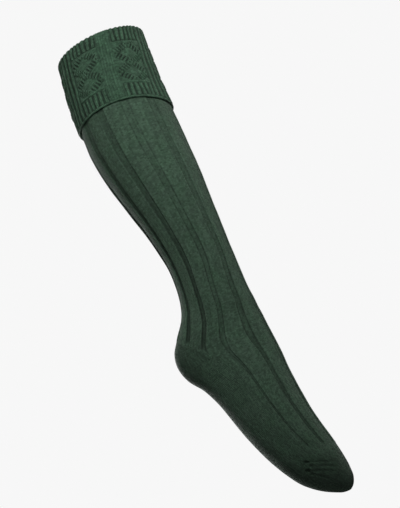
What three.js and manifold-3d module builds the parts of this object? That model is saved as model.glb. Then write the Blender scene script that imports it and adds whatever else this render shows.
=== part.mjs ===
// A kilt hose sock: a turned-down cuff, a broad-ribbed leg, a plain heel, a ribbed foot and a plain toe.
// Lengths are millimetres. +Z runs up the leg and +X is the side of the shin and the toe.
// The origin is the middle of the leg opening, level with the fold at the top.

import * as THREE from 'three';
import { ParametricGeometry } from 'three/addons/geometries/ParametricGeometry.js';
import { mergeVertices } from 'three/addons/utils/BufferGeometryUtils.js';
import Module from 'manifold-3d';

// Leg: from the fold down to the narrowest place above the heel
const legLength = 317;
const calfDepth = 116;
const calfWidth = 112;
const ankleDepth = 79.5;
const ankleWidth = 71;

// Foot: from the narrowest place down to the tip of the toe
const footLength = 311;
const heelDepth = 118;
const footWidth = 80;

// Knitted wall of the leg, heel, foot and toe
const hoseWall = 2.4;

// Broad ribs: how many go round and how deep the furrows between them are
const ribCount = 12;
const furrowDepthAtCalf = 0.5;
const furrowDepthAtAnkle = 1.6;
const furrowDepthOnInstep = 1.2;

// Turned-down cuff: its depth behind, how much lower the hem is at the shin and how much it is drawn up at
// both sides, its wall, rolled hem and rib bands, and the block of doubled cloth inside the fold
const cuffDepth = 97.5;
const cuffShinDrop = 12.5;
const cuffSideRise = 6.5;
const cuffWall = 3;
const foldBlock = 8;
const topBandDepth = 17.5;
const bottomBandDepth = 20;
const bandStep = 2;
const hemRoll = 2;
const cuffRibDepth = 1.1;
const pillarCount = 6;
const ribsPerPillarRepeat = 9;
const firstPillarAngle = THREE.MathUtils.degToRad(24);

// Clearances: between two knitted areas in the wall, and between the leg and the cuff round it
const seamGap = 0.3;
const layerGap = 0.4;

// Sections of the leg. down is a share of legLength and ahead of calfDepth.
// depthShare and widthShare run from the ankle's size at 0 to the calf's size at 1.
const legRows = [
  { down: 0.00, ahead: 0.000, depthShare: 0.82, widthShare: 0.59 },
  { down: 0.11, ahead: -0.035, depthShare: 0.87, widthShare: 0.77 },
  { down: 0.22, ahead: -0.060, depthShare: 0.93, widthShare: 0.92 },
  { down: 0.33, ahead: -0.065, depthShare: 0.99, widthShare: 1.00 },
  { down: 0.42, ahead: -0.066, depthShare: 1.00, widthShare: 1.00 },
  { down: 0.50, ahead: -0.055, depthShare: 0.92, widthShare: 0.92 },
  { down: 0.60, ahead: -0.029, depthShare: 0.75, widthShare: 0.75 },
  { down: 0.70, ahead: -0.003, depthShare: 0.51, widthShare: 0.52 },
  { down: 0.80, ahead: 0.021, depthShare: 0.26, widthShare: 0.28 },
  { down: 1.00, ahead: 0.039, depthShare: 0.00, widthShare: 0.00 }
];

// Sections of the heel, foot and toe, measured from the last section of the leg.
// down and ahead are shares of footLength, depthShare of heelDepth and widthShare of footWidth.
// tiltDeg lifts the instep's end of the section. ribsDeg holds three angles: all the ribs turn round it by the
// first, those at both sides of the instep are gathered to the back by the second, and those at both sides
// of the back are pulled forward by the third.
const legRibsDeg = [1, 2, -12];
const footRows = [
  { down: 0.096, ahead: -0.008, tiltDeg: 0, depthShare: 0.700, widthShare: 0.87, ribsDeg: [2, 6, -5] },
  { down: 0.150, ahead: -0.018, tiltDeg: 0, depthShare: 0.752, widthShare: 0.86, ribsDeg: [2, 7, 2] },
  { down: 0.190, ahead: -0.031, tiltDeg: 0, depthShare: 0.832, widthShare: 0.85, ribsDeg: [2, 7, 9] },
  { down: 0.225, ahead: -0.044, tiltDeg: 0, depthShare: 0.902, widthShare: 0.84, ribsDeg: [2, 8, 14] },
  { down: 0.260, ahead: -0.054, tiltDeg: 0, depthShare: 0.968, widthShare: 0.84, ribsDeg: [1, 9, 12] },
  { down: 0.305, ahead: -0.058, tiltDeg: 0, depthShare: 1.000, widthShare: 0.84, ribsDeg: [0, 10, 3] },
  { down: 0.363, ahead: -0.050, tiltDeg: 3, depthShare: 0.970, widthShare: 0.85, ribsDeg: [0, 10, -1] },
  { down: 0.415, ahead: -0.027, tiltDeg: 8, depthShare: 0.866, widthShare: 0.87, ribsDeg: [0, 11, -1] },
  { down: 0.466, ahead: -0.014, tiltDeg: 12, depthShare: 0.811, widthShare: 0.90, ribsDeg: [0, 11, 0] },
  { down: 0.516, ahead: -0.006, tiltDeg: 15, depthShare: 0.775, widthShare: 0.93, ribsDeg: [1, 10, 1] },
  { down: 0.634, ahead: 0.012, tiltDeg: 15, depthShare: 0.705, widthShare: 0.99, ribsDeg: [3, 8, 5] },
  { down: 0.757, ahead: 0.042, tiltDeg: 15, depthShare: 0.627, widthShare: 0.99, ribsDeg: [4, 7, 11] },
  { down: 0.821, ahead: 0.064, tiltDeg: 15, depthShare: 0.583, widthShare: 0.93, ribsDeg: [5, 5, 13] },
  { down: 0.897, ahead: 0.095, tiltDeg: 15, depthShare: 0.486, widthShare: 0.79, ribsDeg: [5, 4, 10] },
  { down: 0.940, ahead: 0.118, tiltDeg: 15, depthShare: 0.375, widthShare: 0.61, ribsDeg: [5, 2, 6] },
  { down: 0.975, ahead: 0.141, tiltDeg: 15, depthShare: 0.230, widthShare: 0.37, ribsDeg: [5, 1, 3] },
  { down: 0.994, ahead: 0.150, tiltDeg: 15, depthShare: 0.105, widthShare: 0.17, ribsDeg: [5, 0, 0] },
  { down: 1.000, ahead: 0.154, tiltDeg: 15, depthShare: 0.000, widthShare: 0.00, ribsDeg: [5, 0, 0] }
];

// Places on the side view where the knitting changes, in the same shares of footLength as footRows
const seamPoints = {
  heelCorner: { down: 0.363, ahead: -0.098 },
  heelTop: { down: 0.222, ahead: -0.214 },
  heelBottom: { down: 0.434, ahead: -0.188 },
  instepFold: { down: 0.340, ahead: 0.135 },
  toeTop: { down: 0.828, ahead: 0.178 },
  toeSole: { down: 0.800, ahead: -0.062 }
};

// Half the width of a furrow's floor, and how far its banks reach, as shares of a rib's pitch on the leg.
// From the heel's back corner down the instep, the ribs close up and the furrows narrow to a share of that.
const furrowFloor = 0.12;
const furrowBank = 0.22;
const instepFurrowShare = 0.45;
const instepFurrowsFrom = 0.40;

const wasm = await Module();
wasm.setup();

function mix(from, to, share) {
  return from + (to - from) * share;
}

// Sections in millimetres

const ankleX = legRows.at(-1).ahead * calfDepth;

function footPlace(row) {
  return { x: ankleX + row.ahead * footLength, z: -legLength - row.down * footLength };
}

function ribAngles(degrees) {
  const [turn, gather, pull] = degrees.map((angle) => THREE.MathUtils.degToRad(angle));
  return { turn, gather, pull };
}

const legSections = legRows.map((row) => ({
  x: row.ahead * calfDepth,
  z: -row.down * legLength,
  tilt: 0,
  halfDepth: mix(ankleDepth, calfDepth, row.depthShare) / 2,
  halfWidth: mix(ankleWidth, calfWidth, row.widthShare) / 2,
  ...ribAngles(legRibsDeg),
  furrowDepth: mix(furrowDepthAtCalf, furrowDepthAtAnkle, row.down),
  furrowShare: 1
}));

const footSections = footRows.map((row) => ({
  ...footPlace(row),
  tilt: THREE.MathUtils.degToRad(row.tiltDeg),
  halfDepth: row.depthShare * heelDepth / 2,
  halfWidth: row.widthShare * footWidth / 2,
  ...ribAngles(row.ribsDeg),
  furrowDepth: row.down < instepFurrowsFrom ? furrowDepthAtAnkle : furrowDepthOnInstep,
  furrowShare: row.down < instepFurrowsFrom ? 1 : instepFurrowShare
}));

const sections = [...legSections, ...footSections];

// The angle goes round from the shin, past the side at -Y and the back of the leg
function sectionPoint(section, angle, grown = 0) {
  const forward = (section.halfDepth + grown) * Math.cos(angle);
  const sideways = (section.halfWidth + grown) * Math.sin(angle);
  return new THREE.Vector3(
    section.x + forward * Math.cos(section.tilt),
    -sideways,
    section.z + forward * Math.sin(section.tilt)
  );
}

// Where a column of stitches lies at a section, from its place on an even round tube
function columnAngle(section, evenAngle) {
  const side = Math.sin(evenAngle);
  const ahead = Math.cos(evenAngle);
  const gathered = section.gather * side * Math.abs(side) * (1 + ahead);
  const pulled = section.pull * side * (1 - ahead) / 2;
  return evenAngle + section.turn + gathered - pulled;
}

// The way out of the wall at a section, square to the surface there
function outward(index, angle) {
  const before = sections[Math.max(index - 1, 0)];
  const after = sections[Math.min(index + 1, sections.length - 1)];
  if (sections[index].halfDepth === 0) {
    return new THREE.Vector3(after.x - before.x, 0, after.z - before.z).normalize();
  }
  const quarter = Math.PI / 2;
  const centre = sectionPoint(sections[index], angle).add(sectionPoint(sections[index], angle + 2 * quarter));
  const round = sectionPoint(sections[index], angle + quarter).sub(centre.multiplyScalar(0.5));
  const along = sectionPoint(after, angle).sub(sectionPoint(before, angle));
  return round.cross(along).normalize();
}

// Solids for joining and cutting

function toSolid(geometry) {
  geometry.deleteAttribute('normal');
  geometry.deleteAttribute('uv');
  const merged = mergeVertices(geometry, 1e-3);
  const corners = Array.from(merged.index.array);
  const triangles = [];
  for (let i = 0; i < corners.length; i += 3) {
    const [a, b, c] = corners.slice(i, i + 3);
    if (a !== b && b !== c && c !== a) triangles.push(a, b, c);
  }
  return new wasm.Manifold(new wasm.Mesh({
    numProp: 3,
    vertProperties: new Float32Array(merged.attributes.position.array),
    triVerts: new Uint32Array(triangles)
  }));
}

// Columns of one rib, as shares of its pitch from the middle of a furrow: banks, floor and crest.
// Plain knitting has columns of its own, evenly spaced.
function ribColumns(section) {
  const floor = furrowFloor * section.furrowShare;
  const bank = furrowBank * section.furrowShare;
  return [
    { across: -bank, onFloor: false },
    { across: -floor, onFloor: true },
    { across: floor, onFloor: true },
    { across: bank, onFloor: false },
    { across: 0.5, onFloor: false }
  ];
}

function plainColumns() {
  return [0, 1 / 3, 2 / 3].map((across) => ({ across, onFloor: false }));
}

// A closed wall from top to toe: down its outer face through every section and up its inner face again.
// columnsAt lists the columns of one rib at a section, and furrowAt gives the depth of a furrow
// at a column's even angle and section.
function hoseSolid(columnsAt, furrowAt) {
  const rings = sections.length;
  const pitch = 2 * Math.PI / ribCount;
  const columnsPerRib = columnsAt(sections[0]).length;
  const allColumns = ribCount * columnsPerRib;
  const place = (u, v, target) => {
    const column = Math.round(u * allColumns) % allColumns;
    const step = Math.round(v * 2 * rings) % (2 * rings);
    const outside = step < rings;
    const index = outside ? step : 2 * rings - 1 - step;
    const section = sections[index];
    const { across, onFloor } = columnsAt(section)[column % columnsPerRib];
    const evenAngle = (Math.floor(column / columnsPerRib) + 0.5 + across) * pitch;
    const furrow = onFloor ? furrowAt(evenAngle, section) : 0;
    const angle = columnAngle(section, evenAngle);
    const sink = outside ? furrow : hoseWall;
    target.copy(sectionPoint(section, angle)).addScaledVector(outward(index, angle), -sink);
  };
  return toSolid(new ParametricGeometry(place, allColumns, 2 * rings));
}

// Cutting regions, drawn on the side view and run right through from side to side

const reach = 2 * (calfDepth + calfWidth + heelDepth + footWidth);
const above = legLength + footLength + reach;
const below = -above;
const legTop = -(foldBlock + seamGap);

function sideRegion(points) {
  const shape = new THREE.Shape(points.map((point) => new THREE.Vector2(point.x, point.z)));
  const geometry = new THREE.ExtrudeGeometry(shape, { depth: 2 * reach, bevelEnabled: false });
  geometry.rotateX(Math.PI / 2);
  geometry.translate(0, reach, 0);
  return toSolid(geometry);
}

function beyond(from, to) {
  const length = Math.hypot(to.x - from.x, to.z - from.z);
  const stretch = reach / length;
  return { x: from.x + (to.x - from.x) * stretch, z: from.z + (to.z - from.z) * stretch };
}

// A thin plate on the line from one place to another, which opens the gap of a seam
function seamPlate(from, to) {
  const length = Math.hypot(to.x - from.x, to.z - from.z);
  const geometry = new THREE.BoxGeometry(length, 2 * reach, seamGap);
  geometry.rotateY(-Math.atan2(to.z - from.z, to.x - from.x));
  geometry.translate((from.x + to.x) / 2, 0, (from.z + to.z) / 2);
  return toSolid(geometry);
}

const seams = Object.fromEntries(Object.entries(seamPoints).map(([name, row]) => [name, footPlace(row)]));
const corner = seams.heelCorner;
const backAbove = beyond(corner, seams.heelTop);
const backBelow = beyond(corner, seams.heelBottom);
const frontAcross = beyond(corner, seams.instepFold);
const toeFront = beyond(seams.toeSole, seams.toeTop);
const toeBack = beyond(seams.toeTop, seams.toeSole);

const hiddenRegion = sideRegion([
  { x: -reach, z: legTop },
  { x: reach, z: legTop },
  { x: reach, z: above },
  { x: -reach, z: above }
]);
const legRegion = sideRegion([
  corner,
  frontAcross,
  { x: reach, z: above },
  { x: -reach, z: above },
  backAbove
]);
const heelRegion = sideRegion([corner, backAbove, backBelow]);
const footRegion = sideRegion([
  corner,
  backBelow,
  { x: -reach, z: below },
  { x: reach, z: below },
  frontAcross
]);
const toeRegion = sideRegion([toeBack, toeFront, { x: reach, z: below }, { x: -reach, z: below }]);
const seamPlates = seamPlate(corner, backAbove)
  .add(seamPlate(corner, backBelow))
  .add(seamPlate(corner, frontAcross))
  .add(seamPlate(toeBack, toeFront));

// Leg, heel, foot and toe

const plainHose = hoseSolid(plainColumns, () => 0);
const ribbedHose = hoseSolid(ribColumns, (angle, section) => section.furrowDepth);
const instepRibbedHose = hoseSolid(ribColumns, (angle, section) => {
  const onInstep = Math.cos(angle) > 0;
  return onInstep ? section.furrowDepth : 0;
});

const legSolid = ribbedHose.intersect(legRegion).subtract(hiddenRegion).subtract(seamPlates);
const heelSolid = plainHose.intersect(heelRegion).subtract(seamPlates);
const footSolid = instepRibbedHose.intersect(footRegion).subtract(toeRegion).subtract(seamPlates);
const toeSolid = plainHose.intersect(toeRegion).subtract(seamPlates);

// Cuff

// The leg's section at any height, straight between its rows, so that the cuff lies evenly on the leg
function legSectionAt(z) {
  const next = legSections.findIndex((section, index) => index > 0 && section.z <= z);
  const lower = legSections[next];
  const upper = legSections[next - 1];
  const share = (Math.min(z, 0) - upper.z) / (lower.z - upper.z);
  return {
    x: mix(upper.x, lower.x, share),
    z,
    tilt: 0,
    halfDepth: mix(upper.halfDepth, lower.halfDepth, share),
    halfWidth: mix(upper.halfWidth, lower.halfWidth, share)
  };
}

// Each place on the cuff's profile has its height, how far it stands out from the leg's outer face,
// the way that its ribs stand up (across, up) and which of the patterns covers it
const outerFace = layerGap + cuffWall;
const foldRadius = (hoseWall + outerFace) / 2;
const foldMiddle = outerFace - foldRadius;

function facePlace(z, pattern) {
  return { z, out: outerFace, across: 1, up: 0, pattern };
}

function foldPlace(degrees) {
  const turn = THREE.MathUtils.degToRad(degrees);
  const across = Math.cos(turn);
  const up = Math.sin(turn);
  const pattern = degrees < 180 ? 'ribs' : 'plain';
  return { z: (up - 1) * foldRadius, out: foldMiddle + across * foldRadius, across, up, pattern };
}

function insidePlace(z, out) {
  return { z, out, across: 0, up: 0, pattern: 'plain' };
}

const bandBottom = -cuffDepth + bottomBandDepth;
const upperRowHeight = legSections[1].z;
const lowerRowHeight = legSections[2].z;
const cuffProfile = [
  insidePlace(-cuffDepth, layerGap),
  { ...facePlace(-cuffDepth, 'plain'), out: outerFace - cuffRibDepth },
  facePlace(-cuffDepth + hemRoll, 'ribs'),
  facePlace(bandBottom, 'ribs'),
  facePlace(bandBottom + bandStep, 'pillars'),
  facePlace(lowerRowHeight, 'pillars'),
  facePlace(upperRowHeight, 'pillars'),
  facePlace(-topBandDepth - bandStep, 'pillars'),
  facePlace(-topBandDepth, 'ribs'),
  foldPlace(0),
  foldPlace(60),
  foldPlace(120),
  foldPlace(180),
  insidePlace(-foldBlock, -hoseWall),
  insidePlace(-foldBlock, layerGap),
  insidePlace(upperRowHeight, layerGap),
  insidePlace(lowerRowHeight, layerGap)
];

// How far the surface sinks at a column: between ribs, and all over the panels between pillars
const columnsPerRepeat = 2 * ribsPerPillarRepeat;
const pillarHalfColumns = 2;

function cuffSink(column, pattern) {
  const inRepeat = column % columnsPerRepeat;
  const fromPillar = Math.min(inRepeat, columnsPerRepeat - inRepeat);
  const onCrest = fromPillar % 2 === 0;
  if (pattern === 'plain') return 0;
  if (pattern === 'pillars' && fromPillar > pillarHalfColumns) return cuffRibDepth;
  return onCrest ? 0 : cuffRibDepth;
}

// How much lower the hem is than behind: the most at the shin, and a little drawn up at both sides
function hemDrop(angle) {
  return cuffShinDrop * (1 + Math.cos(angle)) / 2 - cuffSideRise * Math.sin(angle) ** 2;
}

function cuffSolid() {
  const columns = pillarCount * columnsPerRepeat;
  const rows = cuffProfile.length;
  const place = (u, v, target) => {
    const column = Math.round(u * columns) % columns;
    const row = cuffProfile[(rows - Math.round(v * rows)) % rows];
    const angle = firstPillarAngle + column * 2 * Math.PI / columns;
    const sink = cuffSink(column, row.pattern);
    const belowFold = Math.max(-row.z - foldBlock, 0) / (cuffDepth - foldBlock);
    const height = row.z - hemDrop(angle) * belowFold;
    const section = legSectionAt(height);
    section.z = height - sink * row.up;
    target.copy(sectionPoint(section, angle, row.out - sink * row.across));
  };
  return toSolid(new ParametricGeometry(place, columns, rows));
}

// Scene graph

function knitMesh(name, solid, colour, roughness) {
  const { vertProperties, triVerts } = solid.getMesh();
  const geometry = new THREE.BufferGeometry();
  geometry.setAttribute('position', new THREE.BufferAttribute(new Float32Array(vertProperties), 3));
  geometry.setIndex(new THREE.BufferAttribute(new Uint32Array(triVerts), 1));
  geometry.computeVertexNormals();
  const material = new THREE.MeshStandardMaterial({ color: colour, roughness, metalness: 0 });
  material.name = name;
  const mesh = new THREE.Mesh(geometry, material);
  mesh.name = name;
  return mesh;
}

const sock = new THREE.Group();
sock.add(knitMesh('turnover_cuff', cuffSolid(), 0x2c4533, 0.92));
sock.add(knitMesh('leg', legSolid, 0x2c4234, 0.92));
sock.add(knitMesh('heel', heelSolid, 0x26362b, 0.94));
sock.add(knitMesh('foot', footSolid, 0x2c4234, 0.92));
sock.add(knitMesh('toe', toeSolid, 0x243328, 0.94));

export default sock;
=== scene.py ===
# %% [markdown]
# A kilt hose sock: a long knitted tube for the lower leg, with a deep patterned cuff that is turned down,
# a plain heel, a ribbed foot and a plain toe. The frame below holds its solids, and each knitted piece made
# here is laid over the solid that it stands for, so that both keep the same size and place.
# %% Load the frame and keep its size
import math

import bpy
import numpy as np
from mathutils import Matrix


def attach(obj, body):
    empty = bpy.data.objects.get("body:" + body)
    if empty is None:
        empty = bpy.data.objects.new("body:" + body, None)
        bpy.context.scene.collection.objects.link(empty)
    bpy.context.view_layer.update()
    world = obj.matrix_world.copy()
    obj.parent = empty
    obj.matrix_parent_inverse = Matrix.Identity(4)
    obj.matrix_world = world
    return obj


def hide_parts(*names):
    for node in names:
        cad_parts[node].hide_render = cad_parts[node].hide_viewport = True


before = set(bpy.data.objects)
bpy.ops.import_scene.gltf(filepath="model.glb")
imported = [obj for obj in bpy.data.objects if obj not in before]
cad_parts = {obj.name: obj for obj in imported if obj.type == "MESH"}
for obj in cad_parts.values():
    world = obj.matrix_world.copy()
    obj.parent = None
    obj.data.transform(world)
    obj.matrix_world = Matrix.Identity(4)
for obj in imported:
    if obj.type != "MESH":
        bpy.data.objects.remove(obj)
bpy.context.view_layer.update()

print("solids in the frame:", sorted(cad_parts))

# %% [markdown]
# Knitting is laid out on sections, as a knitter counts rows. Each line below is one section of the tube:
# how far down and ahead it lies, and how deep (front to back) and wide (side to side) it is. The numbers are
# shares of a few real lengths in metres, so that the whole sock can be resized by changing those.
# %% Sizes and sections of the hose
leg_length = 0.317
calf_depth, calf_width = 0.116, 0.112
ankle_depth, ankle_width = 0.0795, 0.071
foot_length = 0.311
heel_depth, foot_width = 0.118, 0.080
hose_wall = 0.0024
furrow_at_calf, furrow_at_ankle, furrow_on_instep = 0.00035, 0.0016, 0.0012
# How wide a furrow is there, as a share of its width at the calf
spread_at_ankle, spread_at_heel, spread_on_instep = 0.9, 0.85, 0.42
# The ribs close up between these shares of the foot's length
closing_from, closing_to = 0.27, 0.42
# How the ribs of the leg lie, in degrees: turn, gather, pull
leg_ribs = (1, 2, -12)

# down, ahead, depth, width
leg_rows = np.array([
    (0.00, 0.000, 0.82, 0.59), (0.11, -0.035, 0.87, 0.77), (0.22, -0.060, 0.93, 0.92),
    (0.33, -0.065, 0.99, 1.00), (0.42, -0.066, 1.00, 1.00), (0.50, -0.055, 0.92, 0.92),
    (0.60, -0.029, 0.75, 0.75), (0.70, -0.003, 0.51, 0.52), (0.80, 0.021, 0.26, 0.28),
    (1.00, 0.039, 0.00, 0.00)])
# down, ahead, tilt, depth, width, and in degrees: turn, gather, pull
foot_rows = np.array([
    (0.096, -0.008, 0, 0.700, 0.87, 2, 6, -5), (0.150, -0.018, 0, 0.752, 0.86, 2, 7, 2),
    (0.190, -0.031, 0, 0.832, 0.85, 2, 7, 9), (0.225, -0.044, 0, 0.902, 0.84, 2, 8, 14),
    (0.260, -0.054, 0, 0.968, 0.84, 1, 9, 12), (0.305, -0.058, 0, 1.000, 0.84, 0, 10, 3),
    (0.363, -0.050, 3, 0.970, 0.85, 0, 10, -1), (0.415, -0.027, 8, 0.866, 0.87, 0, 11, -1),
    (0.466, -0.014, 12, 0.811, 0.90, 0, 11, 0), (0.516, -0.006, 15, 0.775, 0.93, 1, 10, 1),
    (0.634, 0.012, 15, 0.705, 0.99, 3, 8, 5), (0.757, 0.042, 15, 0.627, 0.99, 4, 7, 11),
    (0.821, 0.064, 15, 0.583, 0.93, 5, 5, 13), (0.897, 0.095, 15, 0.486, 0.79, 5, 4, 10),
    (0.940, 0.118, 15, 0.375, 0.61, 5, 2, 6), (0.975, 0.141, 15, 0.230, 0.37, 5, 1, 3),
    (0.994, 0.150, 15, 0.105, 0.17, 5, 0, 0), (1.000, 0.154, 15, 0.000, 0.00, 5, 0, 0)])
ankle_x = leg_rows[-1, 1] * calf_depth


def mix(start, end, share):
    return start + (end - start) * share


def ease(start, end, value):
    share = np.clip((value - start) / (end - start), 0, 1)
    return share * share * (3 - 2 * share)


def leg_sections():
    down, ahead, depth, width = leg_rows.T
    turn, gather, pull = [math.radians(angle) for angle in leg_ribs]
    nothing = 0 * down
    return np.stack([
        ahead * calf_depth, -down * leg_length, nothing,
        mix(ankle_depth, calf_depth, depth) / 2, mix(ankle_width, calf_width, width) / 2,
        nothing + turn, nothing + gather, nothing + pull,
        mix(furrow_at_calf, furrow_at_ankle, down ** 1.4), mix(1.0, spread_at_ankle, down)], axis=1)


def foot_sections():
    down, ahead, tilt, depth, width, turn, gather, pull = foot_rows.T
    closing = ease(closing_from, closing_to, down)
    return np.stack([
        ankle_x + ahead * foot_length, -leg_length - down * foot_length, np.radians(tilt),
        depth * heel_depth / 2, width * foot_width / 2,
        np.radians(turn), np.radians(gather), np.radians(pull),
        mix(furrow_at_ankle, furrow_on_instep, closing),
        mix(spread_at_heel, spread_on_instep, closing)], axis=1)


sections = np.vstack([leg_sections(), foot_sections()])
# Past the tip of the toe the sections run back mirrored, which rounds the tip
past_tip = sections[-2].copy()
past_tip[3:5] *= -1
padded_sections = np.vstack([sections, past_tip])
steps = np.diff(padded_sections[:, [0, 1, 3]], axis=0)
knots = np.concatenate([[0], np.cumsum(np.linalg.norm(steps, axis=1))])
way_to_tip = knots[-2]
print("sections:", len(sections), "way along the side to the tip: %.3f m" % way_to_tip)

# %% [markdown]
# A knitted tube has no corners along its length, so the sections are joined by a smooth curve through all
# of them. A point of the cloth is named by its way (how far along the tube) and its even angle (which column
# of stitches, counted round an unstretched tube). Real columns turn a little round the leg, are gathered to
# the back at the sides of the instep and are pulled forward above the heel, and so does the function here.
# %% From stitch counts to places


def smooth_through(at_knots, values, at):
    """Values on the smooth curve through the rows of a table, read at the places given."""
    gaps = np.diff(at_knots)
    slopes = np.diff(values, axis=0) / gaps[:, None]
    before, after = gaps[:-1, None], gaps[1:, None]
    middle = (slopes[:-1] * after + slopes[1:] * before) / (before + after)
    tangents = np.vstack([slopes[:1], middle, slopes[-1:]])
    row = np.clip(np.searchsorted(at_knots, at, side="right") - 1, 0, len(gaps) - 1)
    gap = gaps[row][..., None]
    t = ((at - at_knots[row]) / gaps[row])[..., None]
    return ((2 * t ** 3 - 3 * t ** 2 + 1) * values[row] + (3 * t ** 2 - 2 * t ** 3) * values[row + 1]
            + gap * ((t ** 3 - 2 * t ** 2 + t) * tangents[row] + (t ** 3 - t ** 2) * tangents[row + 1]))


def section_at(way):
    return smooth_through(knots, padded_sections, np.asarray(way, dtype=float))


def column_angle(section, even):
    side, ahead = np.sin(even), np.cos(even)
    turn, gather, pull = np.moveaxis(section[..., 5:8], -1, 0)
    return even + turn + gather * side * np.abs(side) * (1 + ahead) - pull * side * (1 - ahead) / 2


def base_point(way, even):
    """A point of the hose's smooth outer face."""
    section = section_at(way)
    x, z, tilt, half_depth, half_width = np.moveaxis(section[..., :5], -1, 0)
    angle = column_angle(section, even)
    forward = half_depth * np.cos(angle)
    return np.stack([x + forward * np.cos(tilt), -half_width * np.sin(angle),
                     z + forward * np.sin(tilt)], axis=-1)


def outward(way, even):
    """The way out of the cloth at a point of the smooth face."""
    at_tip = (np.asarray(way) > way_to_tip - 1e-7)[..., None]
    way = np.minimum(way, way_to_tip - 0.0006)
    small_turn, small_way = 1e-3, 1e-4
    round_it = base_point(way, even + small_turn) - base_point(way, even - small_turn)
    along_it = base_point(way + small_way, even) - base_point(way - small_way, even)
    across = np.cross(round_it, along_it)
    across = across / np.maximum(np.linalg.norm(across, axis=-1, keepdims=True), 1e-12)
    tip_tilt = sections[-1, 2]
    return np.where(at_tip, [math.sin(tip_tilt), 0, -math.cos(tip_tilt)], across)


fine_way = np.linspace(0, way_to_tip, 4000)
fine_height = section_at(fine_way)[:, 1]


def way_at_height(z):
    return np.interp(-np.asarray(z), -fine_height, fine_way)


print("way at the ankle: %.3f m" % way_at_height(-leg_length))

# %% [markdown]
# The heel and the toe are knitted in later, with their own rows of stitches. On the side view each change
# lies on a straight line: two lines meet at the corner of the heel, one crosses the instep there, and one
# crosses the toes. Each line is kept as a point and a direction, and how far a stitch lies past it decides
# where the ribs stop.
# %% Lines where the knitting changes


def foot_place(down, ahead):
    return np.array([ankle_x + ahead * foot_length, -leg_length - down * foot_length])


heel_corner = foot_place(0.363, -0.098)
heel_top = foot_place(0.222, -0.214)
heel_bottom = foot_place(0.434, -0.188)
instep_fold = foot_place(0.340, 0.135)
toe_top = foot_place(0.828, 0.178)
toe_sole = foot_place(0.800, -0.062)


class SeamLine:
    """A line on the side view. Its far side is the one that the given place lies on."""

    def __init__(self, start, end, far_place):
        along = (end - start) / np.linalg.norm(end - start)
        self.start = start
        self.normal = np.array([-along[1], along[0]])
        if (far_place - start) @ self.normal < 0:
            self.normal = -self.normal

    def past(self, points):
        return (points[..., 0] - self.start[0]) * self.normal[0] \
            + (points[..., 2] - self.start[1]) * self.normal[1]


toe_tip = foot_place(1.0, 0.154)
back_of_heel = (heel_top + heel_bottom) / 2
into_heel = SeamLine(heel_corner, heel_top, back_of_heel)
heel_to_foot = SeamLine(heel_corner, heel_bottom, toe_tip)
leg_to_foot = SeamLine(heel_corner, instep_fold, toe_tip)
foot_to_toe = SeamLine(toe_sole, toe_top, toe_tip)
print("heel corner at x %.3f, z %.3f" % tuple(heel_corner))

# %% [markdown]
# The leg has broad ribs: nine columns of plain stitches stand up, and three purl columns between them sink
# back into a furrow. The plain columns curl over a little at both sides, so a furrow is shut in by two thin
# dark lines, and its floor is slightly raised. Over the calf the cloth is stretched and the furrows are
# shallow, at the ankle they are deep, most of all behind, where the cloth is slack, and on the foot the
# ribs close up until little more than a line is left. This relief is real geometry, because it catches
# light along the whole leg and shows on the outline.
# On top of this relief, the floors and the bank lines of the furrows are darkened with painted shade.
# %% Relief of the ribs
rib_count = 12
wales_per_rib = 12
wale_count = rib_count * wales_per_rib
course = 0.0018
floor_end, bank_end = 0.100, 0.180
rib_crown = 0.00035
bank_line, bank_line_width, bank_line_depth = 0.140, 0.024, 0.24
lip, lip_width, lip_height = 0.200, 0.030, 0.16
# How far a furrow sinks, and how much painted shade it gets, at the shin and at the instep's sides, as a
# share of one behind
weight_in_front, weight_beside_instep = 0.44, 0.8
widened_beside_instep, widened_on_instep = 0.9, 1.5
# Painted shade on a furrow's floor and on its two bank lines, and the share of it left where furrows are
# shallow
floor_shade, line_shade, least_shade = 0.66, 0.68, 0.14
seam_fade = 0.004
deepest_furrow = sections[:, 8].max()


def on_instep(even):
    middle = (np.floor(even / (2 * math.pi) * rib_count) + 0.5) / rib_count * 2 * math.pi
    return np.cos(middle) > 0


def soft_waves(points):
    """Slight unevenness of cloth that no machine knits quite flat."""
    x, y, z = np.moveaxis(points, -1, 0)
    return (0.00020 * np.sin(61 * z + 90 * y + 1.3) * np.sin(83 * x - 47 * z)
            + 0.00012 * np.sin(140 * z + 170 * x + 2.1) * np.sin(190 * y - 90 * z + 0.4))


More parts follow.
